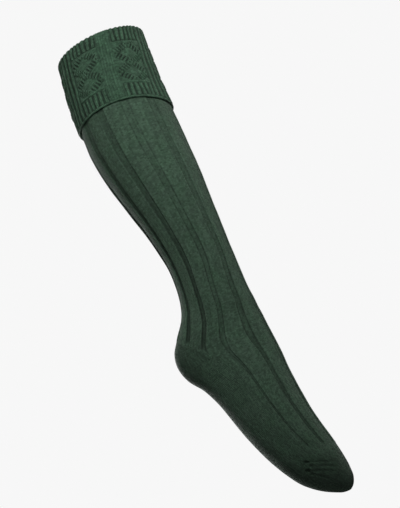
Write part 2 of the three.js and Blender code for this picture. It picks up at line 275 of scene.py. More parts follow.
def rib_relief(way, even, points, strength):
    """Height of the ribs over the smooth face, and the painted shade that darkens the furrows there."""
    depth, spread = section_at(way)[..., 8], section_at(way)[..., 9]
    in_ribs = even / (2 * math.pi) * rib_count
    share = np.abs(in_ribs - np.floor(in_ribs) - 0.5)
    ahead = np.cos((np.floor(in_ribs) + 0.5) / rib_count * 2 * math.pi)
    on_foot = ease(closing_from, closing_to, (-points[..., 2] - leg_length) / foot_length)
    on_top = ease(0.3, 0.65, ahead)
    weight_on_leg = mix(weight_in_front, 1.0, ease(-0.2, 0.25, -ahead))
    weight = mix(weight_on_leg, mix(weight_beside_instep, 1.0, on_top), on_foot)
    widened = mix(1, mix(widened_beside_instep, widened_on_instep, on_top), on_foot)
    from_furrow = share / (spread * widened)
    stretched = 1 - depth / deepest_furrow
    floor_edge, bank_edge = floor_end * (1 - 0.7 * stretched), bank_end * (1 + 0.3 * stretched)
    floor = (1 - ease(floor_edge, bank_edge, from_furrow)) * strength
    raised_floor = (0.75 - 0.45 * weight) * np.cos(math.pi * np.clip(from_furrow / floor_end, 0, 1) / 2)
    line = np.exp(-((from_furrow - bank_line) / bank_line_width) ** 2) * strength
    edge = np.exp(-((from_furrow - lip) / lip_width) ** 2) * strength
    crown = rib_crown * (1 - (2 * np.clip(0.5 - share, 0, 0.5)) ** 2) * strength
    sunk = weight * floor * (1 - raised_floor) + bank_line_depth * line - lip_height * edge
    # Painted shade: the floors and bank lines of furrows are darkened, more where a furrow is deep and more
    # behind
    painted_furrow_shade = (floor_shade * weight * floor + line_shade * line) * mix(least_shade, 1, depth / deepest_furrow)
    height = crown - depth * sunk
    return height + soft_waves(points), np.clip(painted_furrow_shade, 0, 1)


def leg_relief(way, even):
    points = base_point(way, even)
    ends = ease(0, seam_fade, -into_heel.past(points))
    ends_at_sole = np.where(on_instep(even), 1, ease(0, seam_fade, -leg_to_foot.past(points)))
    return rib_relief(way, even, points, ends * ends_at_sole)


def foot_relief(way, even):
    points = base_point(way, even)
    ends = ease(0, 0.003, -foot_to_toe.past(points))
    return rib_relief(way, even, points, np.where(on_instep(even), ends, 0))


def plain_relief(way, even):
    points = base_point(way, even)
    return rib_relief(way, even, points, 0 * way)


# %% [markdown]
# A knitted tube is made here as a knitter makes a swatch and joins its edges: a flat grid is added, with
# a column of faces for each part of a stitch, and its points are moved onto the tube. Where the two edges
# meet, the doubled points are merged. The grid could also be extruded ring by ring, but a grid keeps the
# stitch counts as a flat map, and that map carries the stitch pattern later.
# %% Rolling a flat sheet of stitches into a tube


def only(piece):
    bpy.ops.object.select_all(action="DESELECT")
    piece.select_set(True)
    bpy.context.view_layer.objects.active = piece


def flat_sheet(name, across, along, place, stitch_map):
    """A grid laid onto cloth. place gives points and their painted shade, also read as purl, for shares
    across and along.
    """
    bpy.ops.object.select_all(action="DESELECT")
    bpy.ops.mesh.primitive_grid_add(x_subdivisions=across, y_subdivisions=along, size=1)
    piece = bpy.context.object
    piece.name = name
    mesh = piece.data
    mesh.name = name
    flat = np.empty(len(mesh.vertices) * 3, dtype=np.float32)
    mesh.vertices.foreach_get("co", flat)
    shares = np.clip(flat.reshape(-1, 3)[:, :2].astype(float) + 0.5, 0, 1)
    points, purl_and_painted_shade = place(shares[:, 0], shares[:, 1])
    mesh.vertices.foreach_set("co", points.astype(np.float32).ravel())
    # The attribute holds painted shade, which the wool also reads as its share of purl stitches
    mesh.attributes.new("purl_and_painted_shade", "FLOAT", "POINT").data.foreach_set("value", purl_and_painted_shade.astype(np.float32))
    corners = np.empty(len(mesh.loops), dtype=np.int32)
    mesh.loops.foreach_get("vertex_index", corners)
    stitches = stitch_map(shares[:, 0], shares[:, 1], points)[corners]
    mesh.uv_layers[0].name = "stitches"
    mesh.uv_layers[0].data.foreach_set("uv", stitches.astype(np.float32).ravel())
    mesh.update()
    bpy.ops.object.mode_set(mode="EDIT")
    bpy.ops.mesh.select_all(action="SELECT")
    bpy.ops.mesh.remove_doubles(threshold=2e-6)
    bpy.ops.object.mode_set(mode="OBJECT")
    return piece


def cut_along(piece, line, keep_far):
    """Cuts a piece along a line of the side view and keeps one side."""
    only(piece)
    bpy.ops.object.mode_set(mode="EDIT")
    bpy.ops.mesh.select_all(action="SELECT")
    bpy.ops.mesh.bisect(plane_co=(line.start[0], 0, line.start[1]),
                        plane_no=(line.normal[0], 0, line.normal[1]),
                        clear_inner=keep_far, clear_outer=not keep_far, threshold=1e-6)
    bpy.ops.object.mode_set(mode="OBJECT")


def faces_at_edges(mesh):
    """How many faces meet at each edge. An open edge has one."""
    edge_of_loop = np.empty(len(mesh.loops), dtype=np.int32)
    mesh.loops.foreach_get("edge_index", edge_of_loop)
    return np.bincount(edge_of_loop, minlength=len(mesh.edges))


def bridge_edges(piece, belongs):
    """Closes the wall at one open edge: the outer and the inner loop that belong are bridged."""
    only(piece)
    mesh = piece.data
    ends = np.empty(len(mesh.edges) * 2, dtype=np.int32)
    mesh.edges.foreach_get("vertices", ends)
    points = np.empty(len(mesh.vertices) * 3, dtype=np.float32)
    mesh.vertices.foreach_get("co", points)
    middles = points.reshape(-1, 3)[ends.reshape(-1, 2)].mean(axis=1)
    chosen = (faces_at_edges(mesh) == 1) & belongs(middles)
    bpy.ops.object.mode_set(mode="EDIT")
    bpy.ops.mesh.select_mode(type="EDGE")
    bpy.ops.mesh.select_all(action="DESELECT")
    bpy.ops.object.mode_set(mode="OBJECT")
    mesh.edges.foreach_set("select", chosen)
    bpy.ops.object.mode_set(mode="EDIT")
    bpy.ops.mesh.bridge_edge_loops()
    bpy.ops.mesh.select_mode(type="VERT")
    bpy.ops.object.mode_set(mode="OBJECT")
    return int(chosen.sum())


def open_edges(piece):
    return int((faces_at_edges(piece.data) != 2).sum())


def triangle_count(piece):
    return sum(len(face.vertices) - 2 for face in piece.data.polygons)


def join(outer, inner):
    bpy.ops.object.select_all(action="DESELECT")
    inner.select_set(True)
    outer.select_set(True)
    bpy.context.view_layer.objects.active = outer
    bpy.ops.object.join()
    return outer


# %% [markdown]
# Each stretch of the hose is a wall with two faces. The outer face has four columns of faces to a stitch
# column and carries the ribs. The inner face is never seen closely, so it has a sixth as many. Both are
# cut along the same lines, joined, and bridged along their open edges, which gives a closed hollow wall
# whose edge meets the next stretch exactly.
# %% Making one stretch of the hose
outer_columns = 4 * wale_count
inner_columns = 96


def hose_stretch(name, first_way, last_way, row_height, relief, stitch_map, cuts, edges):
    """A closed wall of knitting between two ways along the hose, cut by lines and bridged at its edges."""
    length = last_way - first_way
    rows = max(8, round(length / row_height))

    def outer_place(across, along):
        way, even = first_way + along * length, across * 2 * math.pi
        height, purl_and_painted_shade = relief(way, even)
        return base_point(way, even) + outward(way, even) * height[:, None], purl_and_painted_shade

    def inner_place(across, along):
        way, even = first_way + (1 - along) * length, across * 2 * math.pi
        return base_point(way, even) - outward(way, even) * hose_wall, 0 * way

    def outer_map(across, along, points):
        return stitch_map(first_way + along * length, across * 2 * math.pi, points)

    def inner_map(across, along, points):
        return outer_map(across, 1 - along, points)

    outer = flat_sheet(name, outer_columns, rows, outer_place, outer_map)
    inner = flat_sheet(name + "_inside", inner_columns, max(6, rows // 3), inner_place, inner_map)
    for piece in (outer, inner):
        for line, keep_far in cuts:
            cut_along(piece, line, keep_far)
    piece = join(outer, inner)
    bridged = [bridge_edges(piece, belongs) for belongs in edges]
    print("%s: %d triangles, edges bridged %s, still open %d"
          % (name, triangle_count(piece), bridged, open_edges(piece)))
    return piece


def tube_map(way, even, points):
    return np.stack([even / (2 * math.pi) * wale_count, way / course], axis=1)


# %% [markdown]
# The leg tube hangs from just under the fold of the cuff to the heel and the instep. Its upper edge is
# hidden in the cuff. Below, one cut runs down to the corner of the heel and another across the instep.
# %% Leg tube
cuff_block = 0.008
leg_top_way = float(way_at_height(-cuff_block - 0.00005))
under_cuff = -0.06
leg_tube = hose_stretch(
    "leg_tube", leg_top_way, float(way_at_height(-0.470)), 0.0031, leg_relief, tube_map,
    [(into_heel, False), (leg_to_foot, False)],
    [lambda middles: middles[:, 2] > under_cuff, lambda middles: middles[:, 2] < under_cuff])

# %% [markdown]
# The foot tube has ribs over the instep only. Its sole is plain. Its upper edge is cut to fit the leg in
# front and the heel behind, and its lower edge to fit the toe.
# %% Foot tube
above_toe = -0.0005
foot_tube = hose_stretch(
    "foot_tube", float(way_at_height(-0.395)), float(way_at_height(-0.600)), 0.0029, foot_relief, tube_map,
    [(leg_to_foot, True), (heel_to_foot, True), (foot_to_toe, False)],
    [lambda middles: foot_to_toe.past(middles) < above_toe,
     lambda middles: foot_to_toe.past(middles) > above_toe])

# %% [markdown]
# A heel is knitted to and fro in short rows: each row of the upper half is a little shorter than the last,
# and each row of the lower half a little longer, so that the two halves meet along a slanting seam on each
# side. The rows run level with the line where the heel joins the leg above that seam, and level with the
# line where it joins the foot below it.
# %% Heel cup
gore_direction = (heel_top - heel_corner) / np.linalg.norm(heel_top - heel_corner) \
    + (heel_bottom - heel_corner) / np.linalg.norm(heel_bottom - heel_corner)
heel_gore = SeamLine(heel_corner, heel_corner + gore_direction, heel_bottom)
# The small holes along the seam are darkened with painted shade
heel_hole_pitch, heel_hole_width, heel_hole_depth, heel_hole_shade = 0.0042, 0.0010, 0.0011, 0.6
heel_holes_from, heel_holes_to = 0.010, 0.020
# Painted shade over the heel, full just below the leg and fading out towards the foot
heel_shade, heel_shade_reach = 0.42, 0.022


def heel_map(way, even, points):
    lower = heel_gore.past(points) > 0
    rows = np.where(lower, heel_to_foot.past(points), into_heel.past(points)) / course
    return np.stack([even / (2 * math.pi) * wale_count, rows], axis=1)


def heel_relief(way, even):
    height, purl_and_painted_shade = plain_relief(way, even)
    points = base_point(way, even)
    from_corner = np.hypot(points[:, 0] - heel_corner[0], points[:, 2] - heel_corner[1])
    near_gore = np.exp(-(heel_gore.past(points) / heel_hole_width) ** 2)
    holes = near_gore * (0.5 + 0.5 * np.cos(2 * math.pi * from_corner / heel_hole_pitch)) ** 2
    holes = holes * (1 - ease(heel_holes_from, heel_holes_to, from_corner))
    # Painted shade: the heel is darker below the leg line and lighter near the foot
    below_leg = ease(0, 0.003, into_heel.past(points))
    shade = heel_shade * below_leg * ease(0, heel_shade_reach, -heel_to_foot.past(points))
    return height - heel_hole_depth * holes, np.clip(purl_and_painted_shade + shade + heel_hole_shade * holes, 0, 1)


heel_cup = hose_stretch(
    "heel_cup", float(way_at_height(-0.365)), float(way_at_height(-0.470)), 0.0012, heel_relief, heel_map,
    [(into_heel, True), (heel_to_foot, False)],
    [lambda middles: middles[:, 2] < 0])

# %% [markdown]
# The toe is a rounded cap, worked in short rows too. The rows start close together at a point on each side
# and spread over the top of the toes like a fan, so faint grooves run out from that point, each starting in
# a small hole.
# %% Toe cap
# from down, ahead, to down, ahead, and how deep the hole at its start is
fan_lines = [(0.856, 0.036, 0.905, 0.172, 1.0), (0.873, 0.046, 0.923, 0.166, 0.25),
             (0.884, 0.028, 0.938, 0.158, 1.0), (0.898, 0.040, 0.957, 0.118, 0.35)]
# The fan's grooves and holes are darkened with painted shade
fan_groove_width, fan_groove_depth, fan_groove_shade = 0.0011, 0.0006, 0.30
fan_hole_width, fan_hole_depth, fan_hole_shade = 0.0017, 0.0014, 0.8
# Painted shade: darker past the line where the toe starts, and darker still at the very tip
toe_shade, toe_shade_reach = 0.40, 0.020
tip_shade, tip_reach = 0.40, 0.012


def toe_map(way, even, points):
    along_foot = foot_to_toe.past(points) / course
    return np.stack([even / (2 * math.pi) * wale_count, along_foot], axis=1)


def toe_relief(way, even):
    height, purl_and_painted_shade = plain_relief(way, even)
    points = base_point(way, even)
    to_tip = ease(0, tip_reach, way_to_tip - way)
    deep = 0 * way
    # Painted shade of the toe, of its fan grooves and holes, and of its tip
    shade = toe_shade * ease(0, toe_shade_reach, foot_to_toe.past(points))
    for from_down, from_ahead, to_down, to_ahead, hole_share in fan_lines:
        start, end = foot_place(from_down, from_ahead), foot_place(to_down, to_ahead)
        length = np.linalg.norm(end - start)
        x, z = points[:, 0] - start[0], points[:, 2] - start[1]
        along = (x * (end[0] - start[0]) + z * (end[1] - start[1])) / length
        beside = (x * (end[1] - start[1]) - z * (end[0] - start[0])) / length
        groove = np.exp(-(beside / fan_groove_width) ** 2) * ease(0, 0.004, along)
        groove = groove * (1 - ease(0.4 * length, length, along))
        in_hole = ease(-0.001, 0.002, along) * (1 - ease(0.004, 0.008, along))
        hole = hole_share * np.exp(-(beside / fan_hole_width) ** 2) * in_hole
        deep = deep + fan_groove_depth * groove + fan_hole_depth * hole
        shade = shade + fan_groove_shade * groove + fan_hole_shade * hole
    return (height - deep) * to_tip, np.clip(purl_and_painted_shade + shade * to_tip + tip_shade * (1 - to_tip), 0, 1)


toe_cap = hose_stretch(
    "toe_cap", float(way_at_height(-0.548)), way_to_tip, 0.0012, toe_relief, toe_map,
    [(foot_to_toe, True)], [lambda middles: middles[:, 2] < 0])

# %% [markdown]
# The cuff is knitted after the leg and turned down over it, so what shows is a double layer with a soft
# fold on top. Its wall is one closed loop of profile, carried round the leg: down the outer face, round the
# bound-off hem, up the inner face, and over the fold again. Places on the profile are given by height, by
# how far they stand out from the leg, and by the direction in which the pattern stands up there.
# %% Profile of the cuff
cuff_depth = 0.0975
cuff_shin_drop = 0.0125
cuff_side_rise = 0.0065
cuff_wall = 0.003
layer_gap = 0.0004
cuff_face = layer_gap + cuff_wall
fold_radius = (hose_wall + cuff_face) / 2
fold_middle = cuff_face - fold_radius
hem_radius = 0.0013
hem_middle_z = -cuff_depth + hem_radius
hem_middle_out = layer_gap + hem_radius


def profile_line(start, end, spacing, direction, patterned):
    """Evenly spaced places from start up to, not including, end. Each is (out, z)."""
    start, end = np.array(start), np.array(end)
    count = max(1, round(float(np.linalg.norm(end - start)) / spacing))
    return [(*mix(start, end, i / count), *direction, patterned) for i in range(count)]


def profile_arc(middle, radius, first_degrees, last_degrees, count, patterned):
    rows = []
    for i in range(count):
        turn = math.radians(mix(first_degrees, last_degrees, i / count))
        across, up = math.cos(turn), math.sin(turn)
        rows.append((middle[0] + across * radius, middle[1] + up * radius, across, up, patterned))
    return rows


# out, z, across, up, how much of the pattern shows
cuff_profile = np.array(
    profile_arc((fold_middle, -fold_radius), fold_radius, 180, 0, 12, 0.6)
    + profile_line((cuff_face, -fold_radius), (cuff_face, hem_middle_z + hem_radius), 0.00078, (1, 0), 1)
    + profile_arc((hem_middle_out, hem_middle_z), hem_radius, 60, -180, 9, 0)
    + profile_line((layer_gap, hem_middle_z), (layer_gap, -cuff_block), 0.009, (0, 0), 0)
    + profile_line((layer_gap, -cuff_block), (-hose_wall, -cuff_block), 0.0014, (0, 0), 0)
    + profile_line((-hose_wall, -cuff_block), (-hose_wall, -fold_radius), 0.0026, (0, 0), 0))
print("places on the cuff's profile:", len(cuff_profile))

# %% [markdown]
# The pattern is a common one for hose tops. Narrow ribs run over the fold and end in a band at the top, and
# the same ribs return in a band above the hem. Pillars of three broad ribs join the two bands, and every
# other pillar is worked finer, with low ribs half as wide. The panels between the pillars lie lower and
# carry a trellis: slanting bands of short raised ribs, each set square across its band, round smooth
# diamonds. A ridge of purl bumps lies where a panel meets a band. All of it is counted upward from the hem,
# as it is knitted, and it leans a little, because a knitted cuff twists.
# %% Pattern of the cuff
pillar_count = 6
ribs_per_repeat = 9
half_repeat = ribs_per_repeat / 2
broad_pillar = 3.75
first_pillar = math.radians(24)
rib_total = pillar_count * ribs_per_repeat
cuff_rib_depth = 0.0013
fine_rib_depth = 0.0005
panel_depth = 0.0008
bottom_band, top_band = 0.020, 0.0175
trellis_start, diamond_high = 0.023, 0.027
panel_ribs = ribs_per_repeat - 3
panel_wide = 0.0375
slope_length = math.hypot(panel_wide, diamond_high)
stroke_pitch, stroke_half_length, stroke_height = 0.0039, 0.0044, 0.0014
diamond_height = 0.0005
ridge_place, ridge_width, ridge_height = 0.0026, 0.0009, 0.0009
edge_groove_place, edge_groove_width, edge_groove_depth = 0.0006, 0.0008, 0.0008
lean = math.radians(6.5)
# Half the width of a pillar before it is broadened, in ribs
pillar_half = 1.5


def hem_depth(angle):
    """The hem hangs lowest at the shin and is drawn up a little at both sides."""
    return cuff_depth + cuff_shin_drop * (1 + np.cos(angle)) / 2 - cuff_side_rise * np.sin(angle) ** 2


def strokes(across, up, slope):
    """Short ribs set square across one family of the trellis's slanting bands, and how far off a band is."""
    value = across + slope * up / diamond_high - 0.5
    beside = np.abs(value - np.round(value)) * panel_wide * diamond_high / slope_length
    along = (across * panel_wide * panel_wide - slope * up * diamond_high) / slope_length
    body = 1 - ease(0.72 * stroke_half_length, 1.08 * stroke_half_length, beside)
    wave = 0.5 + 0.5 * np.cos(2 * math.pi * along / stroke_pitch)
    return body * ease(0.10, 0.85, wave), body, beside


def place_in_repeat(angle, level):
    """The nearest pillar, the place in its repeat and the way from its middle, with broad pillars spread."""
    wobble = 0.007 * np.sin(130 * level + 9 * angle) + 0.005 * np.sin(290 * level - 17 * angle + 1)
    leaning = angle + lean * (level / cuff_depth + 0.5) + wobble
    in_repeat = (leaning - first_pillar) / (2 * math.pi) * rib_total % ribs_per_repeat
    from_pillar = np.minimum(in_repeat, ribs_per_repeat - in_repeat)
    pillar = np.round((leaning - first_pillar) / (2 * math.pi) * pillar_count)
    half = np.where(pillar % 2 == 0, broad_pillar / 2, pillar_half)
    outside = pillar_half + (from_pillar - half) * (half_repeat - pillar_half) / (half_repeat - half)
    warped = np.where(from_pillar < half, from_pillar * pillar_half / half, outside)
    return pillar, np.where(in_repeat < half_repeat, warped, ribs_per_repeat - warped), warped


def panel_relief(in_repeat, up, top_line):
    """Height and painted shade of a panel: a groove and a ridge along its edges, and the trellis inside."""
    across = (in_repeat - pillar_half) / panel_ribs
    stroke_a, band_a, beside_a = strokes(across, up - trellis_start, 1)
    stroke_b, band_b, beside_b = strokes(across, up - trellis_start, -1)
    raised = np.maximum(stroke_a, stroke_b)
    in_diamond = ease(0.8 * stroke_half_length, 2.2 * stroke_half_length, np.minimum(beside_a, beside_b))
    from_edge = np.minimum(up - bottom_band, top_line - up)
    bumps = 0.5 + 0.5 * np.cos(4 * math.pi * in_repeat)
    ridge = np.exp(-((from_edge - ridge_place) / ridge_width) ** 2) * (0.45 + 0.55 * bumps)
    groove = np.exp(-((from_edge - edge_groove_place) / edge_groove_width) ** 2)
    inside = ease(0.0030, 0.0050, from_edge)
    height = (-panel_depth - edge_groove_depth * groove + diamond_height * in_diamond * inside
              + np.maximum(stroke_height * raised * inside, ridge_height * ridge))
    # Painted shade over the sunk panel, strongest between the strokes and in the edge groove, and painted
    # light on the ridge
    between = np.maximum(band_a, band_b) * (1 - raised) * inside
    return height, np.clip(0.15 + 0.85 * between + 0.7 * groove - 0.5 * ridge, 0, 1)


def cuff_relief(angle, level):
    """Height of the pattern over the cuff's face, and the painted shade of its gaps and grooves."""
    hem = hem_depth(angle)
    up = hem + level
    top_line = hem - top_band - 0.45 * (hem - cuff_depth)
    pillar, in_repeat, from_pillar = place_in_repeat(angle, level)
    rib = ease(0.06, 0.90, 0.5 + 0.5 * np.cos(2 * math.pi * in_repeat))
    fine = (pillar % 2) * (1 - ease(1.3, 1.7, from_pillar))
    fine_rib = 0.5 + 0.5 * np.cos(4 * math.pi * in_repeat)
    ribs = mix(cuff_rib_depth * (rib - 1), fine_rib_depth * (fine_rib - 1), fine)
    rib = mix(rib, 0.55 + 0.45 * fine_rib, fine)
    in_panel = ease(0, 0.0010, up - bottom_band) * ease(0, 0.0010, top_line - up)
    in_panel = in_panel * ease(1.40, 1.60, from_pillar)
    panel, shaded = panel_relief(in_repeat, up, top_line)
    # The second value is painted shade, darker in the gaps between ribs
    return mix(ribs, panel, in_panel), mix(1 - rib, shaded, in_panel)


print("ribs round the cuff:", rib_total)

# %% [markdown]
# The cuff is the same kind of sheet as the tubes, with the closed profile along its rows. Both pairs of its
# edges meet, so merging the doubled points closes it without a bridge. Each row is lowered by as much as the
# hem hangs lower there, and the pattern stands up square to the profile.
# %% Turned cuff
cuff_unevenness = 1.6


def cuff_place(across, along):
    """Places of the closed profile, carried round the leg, with the hem where it hangs."""
    row = along * len(cuff_profile)
    first = np.floor(row + 1e-6).astype(int) % len(cuff_profile)
    out, z, way_across, way_up, patterned = cuff_profile[first].T
    angle = across * 2 * math.pi
    lowered = (hem_depth(angle) - cuff_depth) * np.clip((-z - cuff_block) / (cuff_depth - cuff_block), 0, 1)
    level = z - lowered
    height, groove = cuff_relief(angle, level)
    height, groove = height * patterned, groove * patterned
    section = section_at(way_at_height(np.minimum(level, 0)))
    out = out + height * way_across
    points = np.stack([
        section[:, 0] + (section[:, 3] + out) * np.cos(angle),
        -(section[:, 4] + out) * np.sin(angle),
        level + height * way_up], axis=1)
    waves = soft_waves(points * 0.8) * cuff_unevenness * patterned
    points[:, 0] += waves * np.cos(angle)
    points[:, 1] -= waves * np.sin(angle)
    return points, groove


cuff_columns = 10 * rib_total
cuff_course = 0.0021
profile_steps = np.linalg.norm(np.diff(np.vstack([cuff_profile, cuff_profile[:1]])[:, :2], axis=0), axis=1)
profile_way = np.concatenate([[0], np.cumsum(profile_steps)])


def cuff_map(across, along, points):
    row = along * len(cuff_profile)
    way = np.interp(row, np.arange(len(profile_way)), profile_way)
    return np.stack([across * 2 * rib_total, way / cuff_course], axis=1)


turned_cuff = flat_sheet("turned_cuff", cuff_columns, len(cuff_profile), cuff_place, cuff_map)
print("turned_cuff: %d triangles, open edges %d" % (triangle_count(turned_cuff), open_edges(turned_cuff)))

# %% [markdown]
# Smooth shading rounds the loops of yarn between the faces. The edges where an inner face meets the cut edge
# of a wall stay sharp.
# %% Shading of the cloth
pieces = {"turnover_cuff": turned_cuff, "leg": leg_tube, "heel": heel_cup, "foot": foot_tube, "toe": toe_cap}
for piece in pieces.values():
    only(piece)
    bpy.ops.object.shade_smooth_by_angle(angle=math.radians(60))
print("pieces:", [piece.name for piece in pieces.values()])

# %% [markdown]
# Shader nodes are set out in code. A few short functions add a node, plug a link or a plain value into
# a socket, do one sum, blend two things, and open a new group with its sockets.
# %% Making nodes in code


def add(tree, kind, **settings):
    node = tree.nodes.new(kind)
    for name, value in settings.items():
        setattr(node, name, value)
    return node


def plug(tree, socket, value):
    if isinstance(value, bpy.types.NodeSocket):
        tree.links.new(value, socket)
    else:
        socket.default_value = value


def sum_up(tree, operation, first, second=0.0, third=0.0):
    node = add(tree, "ShaderNodeMath", operation=operation)
    plug(tree, node.inputs[0], first)
    plug(tree, node.inputs[1], second)
    if operation == "MULTIPLY_ADD":
        plug(tree, node.inputs[2], third)
    return node.outputs[0]


def blend_values(tree, share, first, second):
    node = add(tree, "ShaderNodeMix", data_type="FLOAT")
    plug(tree, node.inputs[0], share)
    plug(tree, node.inputs[2], first)
    plug(tree, node.inputs[3], second)
    return node.outputs[0]


def blend_colours(tree, share, first, second):
    node = add(tree, "ShaderNodeMix", data_type="RGBA")
    plug(tree, node.inputs[0], share)
    plug(tree, node.inputs[6], first)
    plug(tree, node.inputs[7], second)
    return node.outputs[2]


def new_group(name, inputs, outputs):
    group = bpy.data.node_groups.new(name, "ShaderNodeTree")
    for label, kind, value in inputs:
        socket = group.interface.new_socket(name=label, in_out="INPUT", socket_type=kind)
        if value is not None:
            socket.default_value = value
    for label, kind in outputs:
        group.interface.new_socket(name=label, in_out="OUTPUT", socket_type=kind)
    return group, add(group, "NodeGroupInput"), add(group, "NodeGroupOutput")


print("functions for nodes are ready")

# %% [markdown]
# Seen closely, a plain stitch is a V of two slanting strands, and a purl stitch is a low bump across. The
# stitch map counts columns along one axis and rows along the other, so one small group of nodes draws both
# from the fractions of those counts. All pieces use it.
# %% Node group for the stitches
stitch_group, given, result = new_group(
    "Knit stitches",
    [("Stitch map", "NodeSocketVector", None), ("Purl", "NodeSocketFloat", 0.0),
     ("Waver", "NodeSocketFloat", 0.15)],
    [("Height", "NodeSocketFloat"), ("Tone", "NodeSocketFloat")])


def stitch_sum(operation, *values):
    return sum_up(stitch_group, operation, *values)


wander = add(stitch_group, "ShaderNodeTexNoise")
wander.inputs["Scale"].default_value = 0.35
wander.inputs["Detail"].default_value = 2.0
plug(stitch_group, wander.inputs["Vector"], given.outputs["Stitch map"])
counts = add(stitch_group, "ShaderNodeSeparateXYZ")
plug(stitch_group, counts.inputs[0], given.outputs["Stitch map"])
shift = stitch_sum("MULTIPLY", stitch_sum("SUBTRACT", wander.outputs[0], 0.5),
                   stitch_sum("MULTIPLY", given.outputs["Waver"], 4.0))
column = stitch_sum("ADD", counts.outputs["X"], shift)
row = stitch_sum("ADD", counts.outputs["Y"], shift)
from_middle = stitch_sum("ABSOLUTE", stitch_sum("SUBTRACT", stitch_sum("FRACT", column), 0.5))
strand = stitch_sum("SINE", stitch_sum("MULTIPLY", from_middle, 2 * math.pi))
slant = stitch_sum("MULTIPLY_ADD", from_middle, 1.1, row)
loop = stitch_sum("SINE", stitch_sum("MULTIPLY", stitch_sum("FRACT", slant), math.pi))
plain = stitch_sum("MULTIPLY", strand, stitch_sum("MULTIPLY_ADD", loop, 0.6, 0.4))
bump_row = stitch_sum("ABSOLUTE", stitch_sum("SINE", stitch_sum("MULTIPLY", row, math.pi)))
bump_wave = stitch_sum("COSINE", stitch_sum("MULTIPLY", column, 2 * math.pi))
purl = stitch_sum("MULTIPLY", bump_row, stitch_sum("MULTIPLY_ADD", bump_wave, 0.3, 0.7))
stitch = blend_values(stitch_group, given.outputs["Purl"], plain, purl)
plug(stitch_group, result.inputs["Height"], stitch)
print("node group:", stitch_group.name)

# %% [markdown]
# The whole numbers of the counts name the single stitch, which gets a tone of its own. A noise drawn out
# along the columns gives the faint streaks of uneven yarn, and painted shade makes the gaps darker than the
# loops.
# %% Tones of the stitches
one_stitch = add(stitch_group, "ShaderNodeCombineXYZ")
plug(stitch_group, one_stitch.inputs[0], stitch_sum("FLOOR", column))
plug(stitch_group, one_stitch.inputs[1], stitch_sum("FLOOR", row))
own_tone = add(stitch_group, "ShaderNodeTexWhiteNoise", noise_dimensions="2D")
plug(stitch_group, own_tone.inputs["Vector"], one_stitch.outputs[0])
long_cells = add(stitch_group, "ShaderNodeVectorMath", operation="MULTIPLY")
plug(stitch_group, long_cells.inputs[0], given.outputs["Stitch map"])
long_cells.inputs[1].default_value = (0.9, 0.05, 1.0)
streak = add(stitch_group, "ShaderNodeTexNoise")
streak.inputs["Scale"].default_value = 0.8
streak.inputs["Detail"].default_value = 2.0
plug(stitch_group, streak.inputs["Vector"], long_cells.outputs[0])
# Painted shade: the gaps between loops are darker than the loops
painted_loop_shade = stitch_sum("MULTIPLY_ADD", stitch, 0.50, 0.72)
stitch_tone = stitch_sum("MULTIPLY_ADD", own_tone.outputs["Value"], 0.60, 0.70)
streak_tone = stitch_sum("MULTIPLY_ADD", streak.outputs[0], 0.8, 0.60)
yarn_tone = stitch_sum("MULTIPLY", stitch_tone, streak_tone)
plug(stitch_group, result.inputs["Tone"], stitch_sum("MULTIPLY", painted_loop_shade, yarn_tone))
print("tones of the stitches:", len(stitch_group.nodes), "nodes in the group")

# %% [markdown]
# Dyed wool is never one flat colour: single strands take the dye differently. Light hardly reaches the
# floor of a furrow, so that shade is painted in. The second group mixes these with the tones of the stitches
# into one colour, and gives the fuzz of loose fibres as a height.
# %% Node group for the wool
wool_group, given, result = new_group(
    "Dyed wool with painted shade",
    [("Colour", "NodeSocketColor", (0.03, 0.06, 0.045, 1)),
     ("Grey", "NodeSocketColor", (0.05, 0.06, 0.05, 1)),
     ("Stitch tone", "NodeSocketFloat", 1.0), ("Groove", "NodeSocketFloat", 0.0),
     ("Mottle", "NodeSocketFloat", 0.17), ("Groove shade", "NodeSocketFloat", 0.5)],
    [("Colour", "NodeSocketColor"), ("Fuzz", "NodeSocketFloat")])
place = add(wool_group, "ShaderNodeTexCoord")


def wool_sum(operation, *values):
    return sum_up(wool_group, operation, *values)


def wool_noise(scale, detail):
    noise = add(wool_group, "ShaderNodeTexNoise")
    noise.inputs["Scale"].default_value = scale
    noise.inputs["Detail"].default_value = detail
    noise.inputs["Roughness"].default_value = 0.6
    plug(wool_group, noise.inputs["Vector"], place.outputs["Object"])
    return noise.outputs[0]


fine = wool_noise(520.0, 3.0)
broad = wool_noise(75.0, 2.0)
fibre = wool_noise(2600.0, 2.0)
spread = add(wool_group, "ShaderNodeMapRange")
plug(wool_group, spread.inputs[0], broad)
spread.inputs[1].default_value = 0.12
spread.inputs[2].default_value = 0.88
dyed = blend_colours(wool_group, spread.outputs[0], given.outputs["Colour"], given.outputs["Grey"])
mottle = wool_sum("MULTIPLY_ADD", wool_sum("SUBTRACT", fine, 0.5),
                  wool_sum("MULTIPLY", given.outputs["Mottle"], 4.0), 1.0)
# Painted shade: grooves are darkened by their attribute, as far as the groove shade says
shade = wool_sum("MULTIPLY", given.outputs["Groove"], given.outputs["Groove shade"])
sunk = wool_sum("SUBTRACT", 1.0, shade)
tone_and_painted_shade = wool_sum("MULTIPLY", wool_sum("MULTIPLY", mottle, given.outputs["Stitch tone"]), sunk)
scaled = add(wool_group, "ShaderNodeVectorMath", operation="SCALE")
plug(wool_group, scaled.inputs[0], dyed)
plug(wool_group, scaled.inputs["Scale"], tone_and_painted_shade)
plug(wool_group, result.inputs["Colour"], scaled.outputs[0])
plug(wool_group, result.inputs["Fuzz"], wool_sum("MULTIPLY_ADD", fine, 0.6, fibre))
print("node group:", wool_group.name)
